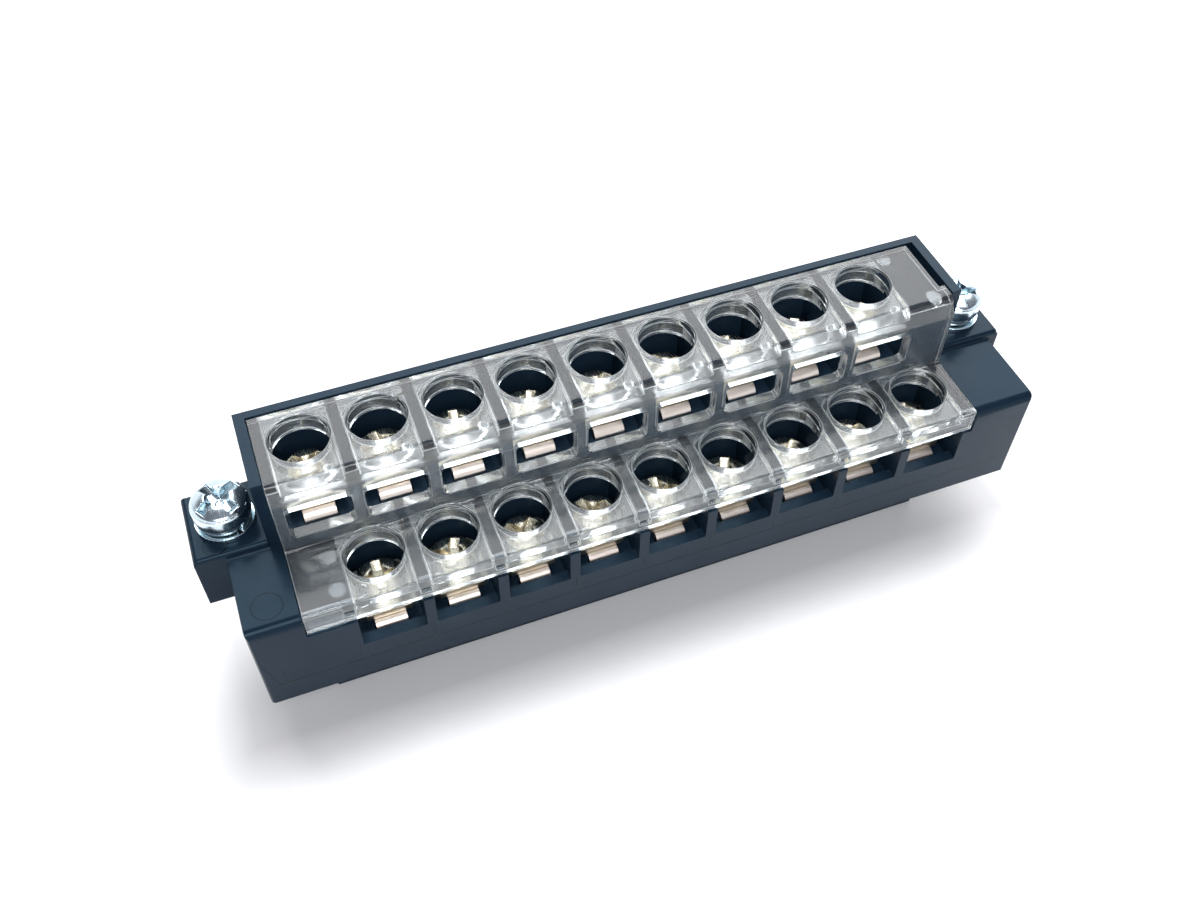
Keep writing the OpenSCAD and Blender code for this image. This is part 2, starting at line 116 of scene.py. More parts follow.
# Sections round a spring washer, angle at which it is cut, and run of the cut for each unit of height
WASHER_SECTIONS = 97
WASHER_TURN = math.radians(-60)
WASHER_SLANT = 0.6

# Thickness of the cover's plate, and drop of the pads in front of its holes
COVER_PLATE = 1.2 * MM
PAD_DROP = 0.7 * MM
# Ejector pins under the cover as (x, y, radius), from the terminal's axis or, at the ends, from the block's
UPPER_PAD_PIN = (1.9 * MM, -4.1 * MM, 0.68 * MM)
UPPER_REAR_PIN = (2.8 * MM, 3.1 * MM, 0.5 * MM)
LOWER_PAD_PIN = (-2.3 * MM, -3.2 * MM, 0.75 * MM)
LOWER_REAR_PIN = (-2.9 * MM, 2.75 * MM, 0.4 * MM)
LEFT_END_PINS = ((-32.9 * MM, -2.9 * MM, 0.85 * MM), (-32.9 * MM, -6.9 * MM, 0.85 * MM))
RIGHT_END_PINS = ((32.85 * MM, 7.6 * MM, 0.8 * MM), (35.1 * MM, 0.8 * MM, 0.8 * MM))
# Points round a pin's mark; its cutter starts so many depths below the surface, and what lies within so many
# depths of the surface belongs to the mark
MARK_POINTS = 28
MARK_START = 3
MARK_SPAN = 1.2

# Mould lines on the housing's front: rise of the turned-up end for each unit along, most that it widens
# there, and width and strength of the upright lines as shares of the long one's
TURN_SLOPE = 4.3
TURN_WIDENING = 0.12 * MM
UPRIGHT_WIDTH = 0.8
UPRIGHT_STRENGTH = 0.5
# Rims of two ejector pins at the housing's left end, on the deck and on the ear, as (x, y, level, radius)
DECK_TOP = 20.35 * MM
EAR_TOP = 21.25 * MM
PIN_RIMS = ((-39.5 * MM, -6.7 * MM, DECK_TOP, 1.5 * MM), (-42.8 * MM, 1.4 * MM, EAR_TOP, 1.2 * MM))
# Depth below the front face, and distance from a rim's level, to which the lines are drawn
FRONT_GAP = 0.02 * MM
RIM_GAP = 0.03 * MM

# Noise in the skins of plastic and of plated metal, in waves per metre
CLOUDS = 140
SPECKS = 2600
GRAIN = 5200
RUBBED = 420
SWELL = 240
PATCHES = 900
PITS = 6000
SCRATCHES = (9000, 700, 900)
SCRATCH_TURN = (0.2, 0.1, 0.7)
# Deeper tones in the platings, as shares of their colours
NICKEL_DEEP = (0.8, 0.76, 0.62)
STRIP_DEEP = (0.93, 0.9, 0.87)
ZINC_DEEP = (0.8, 0.84, 0.86)

# Places round the studio floor and along its bend, and the share of its far reach where it starts to whiten
FLOOR_PLACES = 72
BEND_PLACES = 13
FAR_START = 0.2
# Soft lamps, each as its place, the point that it faces and its size across and up
REAR_LAMP = ((0.15, 0.45, 0.36), (0, 0, 0), (0.9, 0.3))
OVERHEAD_LAMP = ((0.17, 0.36, 0.56), (0, 0, 0), (0.81, 0.55))
FRONT_LAMP = ((-0.12, -0.42, 0.52), (0, 0, 0.01), (0.3, 0.3))


class BlockColours(bpy.types.PropertyGroup):
    """Colours of the block's plastics and platings."""

    housing: FloatVectorProperty(
        name="Housing", description="Dark moulded plastic", subtype="COLOR", size=3, min=0, max=1,
        default=(0.009, 0.020, 0.036))
    cover: FloatVectorProperty(
        name="Cover", description="Tint of the clear cover", subtype="COLOR", size=3, min=0, max=1,
        default=(0.93, 0.98, 1.0))
    screw: FloatVectorProperty(
        name="Terminal screws", description="Nickel plating of the terminal screws", subtype="COLOR", size=3,
        min=0, max=1, default=(0.77, 0.71, 0.58))
    clamp: FloatVectorProperty(
        name="Clamp plates", description="Nickel plating of the clamp plates", subtype="COLOR", size=3,
        min=0, max=1, default=(0.66, 0.62, 0.52))
    strip: FloatVectorProperty(
        name="Contact strips", description="Plating of the contact strips", subtype="COLOR", size=3,
        min=0, max=1, default=(0.86, 0.76, 0.69))
    zinc: FloatVectorProperty(
        name="Mounting hardware", description="Bright zinc plating", subtype="COLOR", size=3, min=0, max=1,
        default=(0.68, 0.80, 0.86))


class BlockShapes(bpy.types.PropertyGroup):
    """Small forms that the solids leave out."""

    housing_edge: FloatProperty(
        name="Housing edge", description="Rounding of the housing's moulded edges", unit="LENGTH",
        subtype="DISTANCE", default=0.08 * MM, min=0)
    cover_edge: FloatProperty(
        name="Cover edge", description="Rounding of the cover's moulded edges", unit="LENGTH",
        subtype="DISTANCE", default=0.1 * MM, min=0)
    mark_depth: FloatProperty(
        name="Pin mark depth", description="Depth of the round marks left by ejector pins", unit="LENGTH",
        subtype="DISTANCE", default=0.12 * MM, min=0.01 * MM)
    metal_edge: FloatProperty(
        name="Metal edge", description="Rounding of edges on plated pieces", unit="LENGTH",
        subtype="DISTANCE", default=0.06 * MM, min=0)
    head_round: FloatProperty(
        name="Head rounding", description="Rounding of a screw head's rim", unit="LENGTH", subtype="DISTANCE",
        default=0.75 * MM, min=0.1 * MM)
    thread_pitch: FloatProperty(
        name="Thread pitch", description="Rise of a thread in one turn", unit="LENGTH", subtype="DISTANCE",
        default=0.5 * MM, min=0.1 * MM)
    thread_depth: FloatProperty(
        name="Thread depth", description="Depth of a thread below the screw's diameter", unit="LENGTH",
        subtype="DISTANCE", default=0.27 * MM, min=0)
    thread_steps: IntProperty(
        name="Thread steps", description="Points round one turn of a thread", default=40, min=12)
    washer_rise: FloatProperty(
        name="Spring washer rise", description="Height between the two cut ends of a spring washer",
        unit="LENGTH", subtype="DISTANCE", default=0.2 * MM, min=0)
    washer_bore: FloatProperty(
        name="Spring washer bore", description="Inside diameter of a spring washer", unit="LENGTH",
        subtype="DISTANCE", default=3.2 * MM, min=1 * MM)
    washer_gap: FloatProperty(
        name="Spring washer gap", description="Angle left open between the cut ends", unit="ROTATION",
        subtype="ANGLE", default=math.radians(9), min=0)


class BlockStage(bpy.types.PropertyGroup):
    """Floor, lamps and camera."""

    floor: FloatVectorProperty(
        name="Floor", description="Pale floor", subtype="COLOR", size=3, min=0, max=1,
        default=(0.9, 0.9, 0.91))
    floor_lift: FloatProperty(
        name="Floor lift", description="Light that the floor adds as background", default=0.4, min=0)
    floor_reach: FloatProperty(
        name="Floor reach", description="Distance from the block at which the floor's added light is full",
        unit="LENGTH", subtype="DISTANCE", default=7 * MM, min=1 * MM)
    floor_flat: FloatProperty(
        name="Flat floor", description="Radius of the floor's flat part", unit="LENGTH", subtype="DISTANCE",
        default=1.5, min=0.5)
    floor_bend: FloatProperty(
        name="Floor bend", description="Radius of the bend between floor and wall", unit="LENGTH",
        subtype="DISTANCE", default=1.0, min=0.1)
    floor_wall: FloatProperty(
        name="Wall", description="Height of the wall above the bend", unit="LENGTH", subtype="DISTANCE",
        default=0.4, min=0.1)
    far_reach: FloatProperty(
        name="Far reach", description="Distance from the block at which the floor is white all over",
        unit="LENGTH", subtype="DISTANCE", default=1.0, min=0.1)
    rear_power: FloatProperty(
        name="Rear lamp", description="Power of the soft panel behind", subtype="POWER", default=0.3, min=0)
    key_power: FloatProperty(
        name="Overhead lamp", description="Power of the large soft lamp", subtype="POWER", default=5.8, min=0)
    fill_power: FloatProperty(
        name="Front lamp", description="Power of the soft lamp in front", subtype="POWER", default=2.0, min=0)
    world: FloatVectorProperty(
        name="World", description="Even light all round", subtype="COLOR", size=3, min=0, max=1,
        default=(0.86, 0.87, 1.0))
    world_strength: FloatProperty(
        name="World strength", description="Level of the even light", default=0.2, min=0)
    camera_place: FloatVectorProperty(
        name="Camera", description="Place of the camera", subtype="TRANSLATION", unit="LENGTH", size=3,
        default=(-0.03250, -0.07379, 0.11712))
    camera_right: FloatVectorProperty(
        name="Camera right", description="Direction to the right of the picture", subtype="DIRECTION", size=3,
        default=(0.93370, -0.35793, 0.00888))
    camera_up: FloatVectorProperty(
        name="Camera up", description="Direction to the top of the picture", subtype="DIRECTION", size=3,
        default=(0.27140, 0.72370, 0.63450))
    lens: FloatProperty(
        name="Lens", description="Focal length on a sensor 36 mm wide", subtype="DISTANCE_CAMERA",
        default=35.88, min=5)


def opaque(colour, shares=1):
    """A colour times one share, or a share for each of its channels, with full cover."""
    return (*np.multiply(tuple(colour), shares).tolist(), 1)


def add_node(tree, kind, **inputs):
    """A shader node of that kind, with some inputs set by name."""
    node = tree.nodes.new(kind)
    for name, value in inputs.items():
        node.inputs[name.replace("_", " ")].default_value = value
    return node


def add_group(tree, group):
    """A shader node that holds a node group."""
    node = tree.nodes.new("ShaderNodeGroup")
    node.node_tree = group
    return node


def feed(tree, value, socket):
    """Feeds an input from another socket, or sets it to a plain value."""
    if isinstance(value, bpy.types.NodeSocket):
        tree.links.new(value, socket)
    else:
        socket.default_value = value


def scaled_noise(tree, place, scale, detail, roughness=0.5):
    """Noise on a place, of that scale in waves per metre."""
    noise = add_node(tree, "ShaderNodeTexNoise", Scale=scale, Detail=detail, Roughness=roughness)
    tree.links.new(place, noise.inputs["Vector"])
    return noise.outputs["Fac"]


def spread(tree, value, old, new):
    """A value carried from one range, (low, high), to another and held inside it."""
    node = tree.nodes.new("ShaderNodeMapRange")
    names = ("Value", "From Min", "From Max", "To Min", "To Max")
    for name, part in zip(names, (value, *old, *new)):
        feed(tree, part, node.inputs[name])
    return node.outputs["Result"]


def mixed(tree, factor, first, second):
    """Two colours mixed by a factor."""
    node = tree.nodes.new("ShaderNodeMix")
    node.data_type = "RGBA"
    colours = {socket.name: socket for socket in node.inputs if socket.type == "RGBA"}
    feed(tree, factor, node.inputs["Factor"])
    feed(tree, first, colours["A"])
    feed(tree, second, colours["B"])
    return next(socket for socket in node.outputs if socket.type == "RGBA")


def reckoned(tree, operation, first, second=0):
    """Two values joined by one operation, or one value if the operation takes no second."""
    node = tree.nodes.new("ShaderNodeMath")
    node.operation = operation
    feed(tree, first, node.inputs[0])
    feed(tree, second, node.inputs[1])
    return node.outputs["Value"]


def diagonal(tree, first, second):
    """Length of the diagonal over two sides."""
    squares = [reckoned(tree, "MULTIPLY", side, side) for side in (first, second)]
    return reckoned(tree, "SQRT", reckoned(tree, "ADD", *squares))


def object_place(tree):
    """A piece's own coordinates, as (x, y, z)."""
    split = tree.nodes.new("ShaderNodeSeparateXYZ")
    tree.links.new(tree.nodes.new("ShaderNodeTexCoord").outputs["Object"], split.inputs["Vector"])
    return [split.outputs[name] for name in "XYZ"]


def new_group(name, inputs, outputs):
    """An empty shader node group, as (group, its inputs' sockets, its outputs' sockets); inputs give (kind,
    default) by name, and outputs a kind by name."""
    group = bpy.data.node_groups.new(name, "ShaderNodeTree")
    for socket, (kind, default) in inputs.items():
        group.interface.new_socket(socket, in_out="INPUT", socket_type=kind).default_value = default
    for socket, kind in outputs.items():
        group.interface.new_socket(socket, in_out="OUTPUT", socket_type=kind)
    return group, group.nodes.new("NodeGroupInput").outputs, group.nodes.new("NodeGroupOutput").inputs


def shared_group(name, make):
    """The node group of that name, made once."""
    return bpy.data.node_groups.get(name) or make()


def moulded_skin_group():
    """Skin of moulded plastic: cloudy flow marks and specks in the colour, rubbed patches in the roughness,
    and a fine grain on a slow swell in the height."""
    group, given, out = new_group(
        "Moulded skin",
        {"Colour": ("NodeSocketColor", (0.03, 0.04, 0.05, 1)),
         "Pale Colour": ("NodeSocketColor", (0.05, 0.06, 0.07, 1)),
         "Roughness": ("NodeSocketFloat", 0.4),
         "Rubbing": ("NodeSocketFloat", 0.1),
         "Grain": ("NodeSocketFloat", 1)},
        {"Colour": "NodeSocketColor", "Roughness": "NodeSocketFloat", "Height": "NodeSocketFloat"})
    join = partial(reckoned, group)
    place = group.nodes.new("ShaderNodeTexCoord").outputs["Object"]
    clouds = spread(group, scaled_noise(group, place, CLOUDS, detail=4), (0.35, 0.7), (0, 0.6))
    specks = spread(group, scaled_noise(group, place, SPECKS, detail=2), (0.6, 0.8), (0, 0.4))
    grain = scaled_noise(group, place, GRAIN, detail=2, roughness=0.6)
    rubbed = scaled_noise(group, place, RUBBED, detail=5, roughness=0.62)
    swell = scaled_noise(group, place, SWELL, detail=1)
    shine = join("MULTIPLY", spread(group, rubbed, (0.4, 0.65), (-1, 1)), given["Rubbing"])
    tone = join("ADD", clouds, specks)
    feed(group, mixed(group, tone, given["Colour"], given["Pale Colour"]), out["Colour"])
    feed(group, join("ADD", given["Roughness"], shine), out["Roughness"])
    feed(group, join("ADD", join("MULTIPLY", grain, given["Grain"]), swell), out["Height"])
    return group


def mould_lines_group():
    """Fine lines left by the mould: on the front face one along it, turned up at its left end, and a short
    upright one under each wall between the lower terminals; on top, at the left end, the rims of two ejector
    pins."""
    group, given, out = new_group(
        "Mould lines",
        {"Front": ("NodeSocketFloat", CAD_BOX[0][1]),
         "Level": ("NodeSocketFloat", 10.6 * MM),
         "Sill": ("NodeSocketFloat", 13.1 * MM),
         "Turn": ("NodeSocketFloat", -40.7 * MM),
         "Pitch": ("NodeSocketFloat", PITCH),
         "First": ("NodeSocketFloat", 5.8 * MM),
         "Width": ("NodeSocketFloat", 0.06 * MM)},
        {"Line": "NodeSocketFloat"})
    join = partial(reckoned, group)
    x, y, z = object_place(group)
    past_turn = join("MAXIMUM", join("SUBTRACT", given["Turn"], x), 0)
    level = join("ADD", given["Level"], join("MULTIPLY", past_turn, TURN_SLOPE))
    width = join("ADD", given["Width"], join("MINIMUM", past_turn, TURN_WIDENING))
    along = join("LESS_THAN", join("ABSOLUTE", join("SUBTRACT", z, level)), width)
    from_wall = join("PINGPONG", join("SUBTRACT", x, given["First"]), join("MULTIPLY", given["Pitch"], 0.5))
    upright = join("LESS_THAN", from_wall, join("MULTIPLY", given["Width"], UPRIGHT_WIDTH))
    upright = join("MULTIPLY", upright, join("GREATER_THAN", z, given["Level"]))
    upright = join("MULTIPLY", upright, join("LESS_THAN", z, given["Sill"]))
    lines = join("MAXIMUM", along, join("MULTIPLY", upright, UPRIGHT_STRENGTH))
    lines = join("MULTIPLY", lines, join("LESS_THAN", y, join("ADD", given["Front"], FRONT_GAP)))
    for pin_x, pin_y, pin_z, radius in PIN_RIMS:
        from_pin = diagonal(group, join("SUBTRACT", x, pin_x), join("SUBTRACT", y, pin_y))
        on_rim = join("LESS_THAN", join("ABSOLUTE", join("SUBTRACT", from_pin, radius)), given["Width"])
        on_level = join("LESS_THAN", join("ABSOLUTE", join("SUBTRACT", z, pin_z)), RIM_GAP)
        lines = join("MAXIMUM", lines, join("MULTIPLY", on_rim, on_level))
    feed(group, lines, out["Line"])
    return group


def plated_skin_group():
    """Skin of plated metal: patches of deeper tone in the colour, fine scratches in the roughness, and
    scratches and pits in the height."""
    group, given, out = new_group(
        "Plated skin",
        {"Colour": ("NodeSocketColor", (0.6, 0.6, 0.6, 1)),
         "Deep Colour": ("NodeSocketColor", (0.4, 0.38, 0.3, 1)),
         "Patches": ("NodeSocketFloat", 0.5),
         "Roughness": ("NodeSocketFloat", 0.25),
         "Scratches": ("NodeSocketFloat", 0.1)},
        {"Colour": "NodeSocketColor", "Roughness": "NodeSocketFloat", "Height": "NodeSocketFloat"})
    join = partial(reckoned, group)
    place = group.nodes.new("ShaderNodeTexCoord").outputs["Object"]
    stretch = add_node(group, "ShaderNodeMapping", Scale=SCRATCHES, Rotation=SCRATCH_TURN)
    group.links.new(place, stretch.inputs["Vector"])
    patches = scaled_noise(group, place, PATCHES, detail=4, roughness=0.6)
    scratches = scaled_noise(group, stretch.outputs["Vector"], scale=1, detail=2)
    pits = scaled_noise(group, place, PITS, detail=2)
    tone = join("MULTIPLY", spread(group, patches, (0.42, 0.68), (0, 1)), given["Patches"])
    dull = join("MULTIPLY", spread(group, scratches, (0.45, 0.75), (0, 1)), given["Scratches"])
    feed(group, mixed(group, tone, given["Colour"], given["Deep Colour"]), out["Colour"])
    feed(group, join("ADD", given["Roughness"], dull), out["Roughness"])
    feed(group, join("ADD", scratches, pits), out["Height"])
    return group


def skin_material(name, group, sockets, bump, bump_distance):
    """A material whose Principled shader takes colour, roughness and bump from a skin group."""
    material = bpy.data.materials.new(name)
    material.use_nodes = True
    tree = material.node_tree
    shader = tree.nodes["Principled BSDF"]
    skin = add_group(tree, group)
    skin.name = "Skin"
    for socket, value in sockets.items():
        skin.inputs[socket].default_value = value
    relief = add_node(tree, "ShaderNodeBump", Strength=bump, Distance=bump_distance)
    relief.name = "Relief"
    tree.links.new(skin.outputs["Height"], relief.inputs["Height"])
    tree.links.new(relief.outputs["Normal"], shader.inputs["Normal"])
    tree.links.new(skin.outputs["Colour"], shader.inputs["Base Color"])
    tree.links.new(skin.outputs["Roughness"], shader.inputs["Roughness"])
    return material, shader


def housing_plastic(colours):
    """Dark satin plastic, with the mould's lines darker and sunk."""
    dark = colours.housing
    material, shader = skin_material(
        "housing_plastic", shared_group("Moulded skin", moulded_skin_group),
        {"Colour": opaque(dark), "Pale Colour": opaque(dark, 1.35), "Roughness": 0.22, "Rubbing": 0.04,
         "Grain": 0.25},
        bump=0.1, bump_distance=0.02 * MM)
    shader.inputs["IOR"].default_value = 1.5
    shader.inputs["Specular IOR Level"].default_value = 0.17
    shader.inputs["Specular Tint"].default_value = (0.52, 0.79, 1, 1)
    tree = material.node_tree
    skin = tree.nodes["Skin"].outputs
    line = add_group(tree, shared_group("Mould lines", mould_lines_group)).outputs["Line"]
    feed(tree, mixed(tree, line, skin["Colour"], opaque(dark, 0.12)), shader.inputs["Base Color"])
    feed(tree, reckoned(tree, "SUBTRACT", skin["Height"], line), tree.nodes["Relief"].inputs["Height"])
    return material


def plated_metal(name, colour, deep, patches, roughness, scratches, bump=0.02):
    """Plated metal with a toned and faintly scratched skin; its deep tone is in shares of its colour."""
    material, shader = skin_material(
        name, shared_group("Plated skin", plated_skin_group),
        {"Colour": opaque(colour), "Deep Colour": opaque(colour, deep), "Patches": patches,
         "Roughness": roughness, "Scratches": scratches},
        bump=bump, bump_distance=0.01 * MM)
    shader.inputs["Metallic"].default_value = 1
    return material


def clear_plastic(name, colours, roughness, transmission):
    """Clear plastic that bends light, with faint moulding clouds in its polish; lamps shine through it."""
    material, shader = skin_material(
        name, shared_group("Moulded skin", moulded_skin_group),
        {"Colour": opaque(colours.cover), "Pale Colour": opaque(colours.cover, 0.985), "Roughness": roughness,
         "Rubbing": 0.015, "Grain": 0},
        bump=0.2, bump_distance=0.05 * MM)
    shader.inputs["IOR"].default_value = 1.49
    shader.inputs["Transmission Weight"].default_value = transmission
    tree = material.node_tree
    lamps = tree.nodes.new("ShaderNodeLightPath").outputs["Is Shadow Ray"]
    through = add_node(tree, "ShaderNodeBsdfTransparent", Color=(0.8, 0.82, 0.82, 1))
    both = tree.nodes.new("ShaderNodeMixShader")
    tree.links.new(lamps, both.inputs["Fac"])
    tree.links.new(shader.outputs["BSDF"], both.inputs[1])
    tree.links.new(through.outputs["BSDF"], both.inputs[2])
    tree.links.new(both.outputs["Shader"], tree.nodes["Material Output"].inputs["Surface"])
    return material


def new_object(name, data):
    """An object with that data, in the scene."""
    made = bpy.data.objects.new(name, data)
    bpy.context.scene.collection.objects.link(made)
    return made


def new_piece(name, node, mesh, *materials):
    """A finished piece that stands for one solid, on that solid's body, with the solid hidden."""
    mesh.materials.clear()
    for material in materials:
        mesh.materials.append(material)
    piece = new_object(name, mesh)
    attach(piece, BODY_OF[node])
    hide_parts(node)
    return piece


def mesh_points(mesh):
    """Places of a mesh's points, one to a row."""
    points = np.empty(len(mesh.vertices) * 3)
    mesh.vertices.foreach_get("co", points)
    return points.reshape(-1, 3)


def mesh_surface(mesh):
    """A mesh as a bmesh with its doubles merged."""
    surface = bmesh.new()
    surface.from_mesh(mesh)
    bmesh.ops.remove_doubles(surface, verts=surface.verts, dist=MERGE_GAP)
    return surface


def solid_surface(node):
    """A copy of a solid's surface with its doubles merged and without its stored normals, as a bmesh."""
    plain = frame["nodes"][node].data.copy()
    stored = plain.attributes.get("custom_normal")
    if stored:
        plain.attributes.remove(stored)
    surface = mesh_surface(plain)
    bpy.data.meshes.remove(plain)
    return surface


def kept_mesh(surface, name):
    """A new mesh with the surface of a bmesh, which is freed."""
    mesh = bpy.data.meshes.new(name)
    surface.to_mesh(mesh)
    surface.free()
    return mesh


def edge_turn(edge):
    """Angle between the two faces at an edge, or a half turn at an open edge."""
    return edge.calc_face_angle() if len(edge.link_faces) == 2 else math.pi


def round_edges(piece, radius, spared=None):
    """Rounds every edge of a piece that turns enough and is long enough, apart from edges between spared
    points, which are given as a flag for each point. Other edges that turn stay sharp. A second material goes
    on the roundings."""
    surface = bmesh.new()
    surface.from_mesh(piece.data)
    weight = surface.edges.layers.float.new("bevel_weight_edge")
    for face in surface.faces:
        face.smooth = True
    for edge in surface.edges:
        turn = edge_turn(edge)
        long_enough = edge.calc_length() > SHORTEST_ROUNDED * radius
        left_out = spared is not None and all(spared[point.index] for point in edge.verts)
        if turn > ROUNDED_TURN and long_enough and not left_out:
            edge[weight] = 1
        elif turn > SHARP_TURN:
            edge.smooth = False
    surface.to_mesh(piece.data)
    surface.free()
    bevel = piece.modifiers.new("Rounded edges", "BEVEL")
    bevel.width = radius
    bevel.segments = ROUNDING_FACES
    bevel.limit_method = "WEIGHT"
    bevel.offset_type = "WIDTH"
    bevel.miter_outer = "MITER_ARC"
    bevel.use_clamp_overlap = False
    bevel.harden_normals = True
    if len(piece.data.materials) > 1:
        bevel.material = 1


def softened(node, name, material, radius):
    """A solid's own surface with its edges rounded."""
    piece = new_piece(name, node, kept_mesh(solid_surface(node), name), material)
    round_edges(piece, radius)
    return piece


def capped_rings(rings):
    """A closed surface over rings of points, as (points, faces): quads from ring to ring and a flat cap on
    each end."""
    count, around, _ = rings.shape
    here = np.arange(count * around).reshape(count, around)
    beside = np.roll(here, -1, axis=1)
    quads = np.stack((here[:-1], beside[:-1], beside[1:], here[1:]), axis=-1).reshape(-1, 4)
    return rings.reshape(-1, 3).tolist(), [*quads.tolist(), here[0, ::-1].tolist(), here[-1].tolist()]


def add_rings(surface, rings):
    """Adds the closed surface over rings of points to a bmesh."""
    points, faces = capped_rings(rings)
    mesh = bpy.data.meshes.new("rings")
    mesh.from_pydata(points, [], faces)
    surface.from_mesh(mesh)
    bpy.data.meshes.remove(mesh)


def cover_marks():
    """Marks of the ejector pins on the cover's undersides: two by each upper terminal, one by each lower
    terminal with a small one behind every other, and pairs at the ends, as rows of (x, y, level, radius)."""
    upper = COVER_TOP - COVER_PLATE
    lower = upper - ROW_DROP
    marks = [(x, y, lower, radius) for x, y, radius in LEFT_END_PINS]
    marks += [(x, y, upper, radius) for x, y, radius in RIGHT_END_PINS]
    for node in TERMINAL_SCREWS:
        row, number = node.split("_screw_")
        if row == "upper":
            pins = [(UPPER_PAD_PIN, upper - PAD_DROP), (UPPER_REAR_PIN, upper)]
        elif int(number) % 2:
            pins = [(LOWER_PAD_PIN, lower - PAD_DROP), (LOWER_REAR_PIN, lower)]
        else:
            pins = [(LOWER_PAD_PIN, lower - PAD_DROP)]
        axis_x, axis_y, _ = np.mean(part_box(node), axis=0)
        marks += [(axis_x + x, axis_y + y, level, radius) for (x, y, radius), level in pins]
    return np.array(marks)


def marked(node, name, materials, radius, marks, depth):
    """A solid's own surface with shallow round marks sunk into its undersides and its edges rounded, with one
    material for its faces and one for its edges. A mark is (x, y, level, radius), and its cutter is a
    straight tube: a circle carried from below the level to the mark's depth above it."""
    angle = np.linspace(0, FULL_TURN, MARK_POINTS, endpoint=False)
    cutters = bmesh.new()
    for x, y, level, mark_radius in marks:
        ends = np.array((level - MARK_START * depth, level + depth))[:, None]
        circle = (x + mark_radius * np.cos(angle), y + mark_radius * np.sin(angle), ends)
        add_rings(cutters, np.stack(np.broadcast_arrays(*circle), axis=-1))
    cutter = new_object("pin_marks", kept_mesh(cutters, "pin_marks"))
    whole = new_object("unmarked", kept_mesh(solid_surface(node), "unmarked"))
    cut = whole.modifiers.new("Pin marks", "BOOLEAN")
    cut.operation = "DIFFERENCE"
    cut.solver = "EXACT"
    cut.object = cutter
    done = bpy.data.meshes.new_from_object(whole.evaluated_get(bpy.context.evaluated_depsgraph_get()))
    surface = mesh_surface(done)
    bmesh.ops.triangulate(surface, faces=surface.faces)
    mesh = kept_mesh(surface, name)
    # A mesh that is removed takes its object with it
    for spare in (cutter.data, whole.data, done):
        bpy.data.meshes.remove(spare)
    points = mesh_points(mesh)[:, None]
    reach = np.hypot(points[..., 0] - marks[:, 0], points[..., 1] - marks[:, 1])
    near = np.abs(points[..., 2] - marks[:, 2]) < MARK_SPAN * depth
    on_mark = (near & (reach < marks[:, 3] + LEVEL_GAP)).any(axis=1)
    piece = new_piece(name, node, mesh, *materials)
    round_edges(piece, radius, on_mark)
    return piece


def thread_rings(axis, low, thread_top, high, radius, neck, shapes):
    """A shank with a right-hand thread: at angle a and height z its radius is the full radius less the
    thread's depth times a flat-topped triangle wave of (z / pitch - a / full turn), held back by a cone at
    the tip and by a cone down to the neck above the thread."""
    angle = np.linspace(0, FULL_TURN, shapes.thread_steps, endpoint=False)
    rows = max(2, round((thread_top - low) / shapes.thread_pitch * THREAD_ROWS))
    height = np.concatenate((np.linspace(low, thread_top, rows), [high]))
    a, z = np.meshgrid(angle, height)
    wave = np.abs(2 * ((z / shapes.thread_pitch - a / FULL_TURN) % 1) - 1)
    r = radius - shapes.thread_depth * np.clip((wave - THREAD_CREST) / THREAD_FLANKS, 0, 1)
    r = np.minimum(r, radius - TIP_CONE + (z - low))
    r = np.minimum(r, np.maximum(neck, neck + (thread_top - z)))
    return np.stack((axis[0] + r * np.cos(a), axis[1] + r * np.sin(a), z), axis=-1)


def rounded_rim(points, axis, radius, rim_z, rounding):
    """A head's points with the rim between its wall and its dome rounded: the dome's sphere is fitted to its
    outer points, and each point beyond the tangents of dome and wall to a circle of that rounding, inside
    both, is drawn on to that circle, towards its centre."""
    across = points[:, :2] - axis
    reach = np.hypot(*across.T)
    height = points[:, 2]
    on_dome = (reach > DOME_SHARE * radius) & (height > rim_z - MERGE_GAP)
    slope, level = np.polyfit(height[on_dome], (reach ** 2 + height ** 2)[on_dome], 1)
    dome_z = slope / 2
    dome_radius = math.sqrt(level + dome_z ** 2)
    centre_r = radius - rounding
    centre_z = dome_z + math.sqrt((dome_radius - rounding) ** 2 - centre_r ** 2)
    out = reach - centre_r
    up = height - centre_z
    far = np.hypot(out, up)
    between = (out > 0) & (up > 0) & (up * centre_r < out * (centre_z - dome_z))
    beyond = between & (far > rounding)
    share = rounding / far[beyond]
    new_reach = centre_r + out[beyond] * share
    rounded = points.copy()
    rounded[beyond, :2] = axis + across[beyond] * (new_reach / reach[beyond])[:, None]
    rounded[beyond, 2] = centre_z + up[beyond] * share
    return rounded


